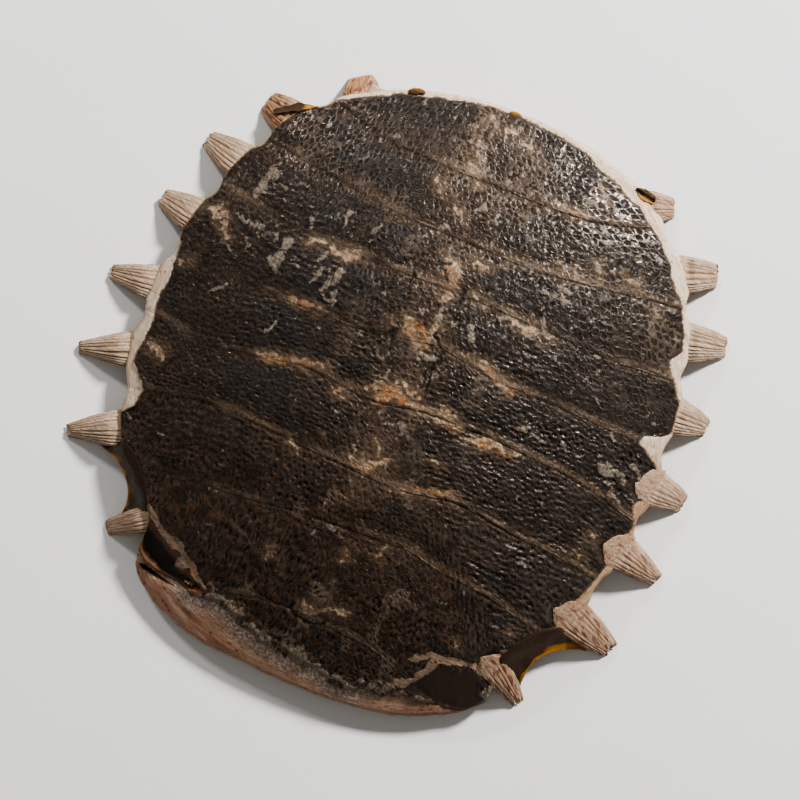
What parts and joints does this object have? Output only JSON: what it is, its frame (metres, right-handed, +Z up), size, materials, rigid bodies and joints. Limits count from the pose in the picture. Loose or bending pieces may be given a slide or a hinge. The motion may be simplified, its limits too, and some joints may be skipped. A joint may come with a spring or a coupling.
{
  "type": "turtle shell",
  "caption": "Dried upper shell of a small softshell turtle: a low bony dome under dark wrinkled skin, with pale rib ends that stand out past its rim.",
  "frame": {"origin": "middle of the shell's footprint, on the surface it lies on", "axes": "+Z up through the dome, +Y towards the tail end, +X to the right seen from above with the tail end away"},
  "size_m": [0.117, 0.1136, 0.0175],
  "materials": {
    "skin_on_bone": "dark dried skin over cream bone, satin",
    "amber_membrane": "thin dried membrane, amber to brown, glossy",
    "loose_skin": "curled dried skin, satin"
  },
  "bodies": {
    "root": {"carapace": "skin_on_bone", "left_web_membrane": "amber_membrane", "right_web_membrane": "amber_membrane", "left_skin_curl": "loose_skin", "right_skin_scrap": "loose_skin"}
  },
  "joints": []
}
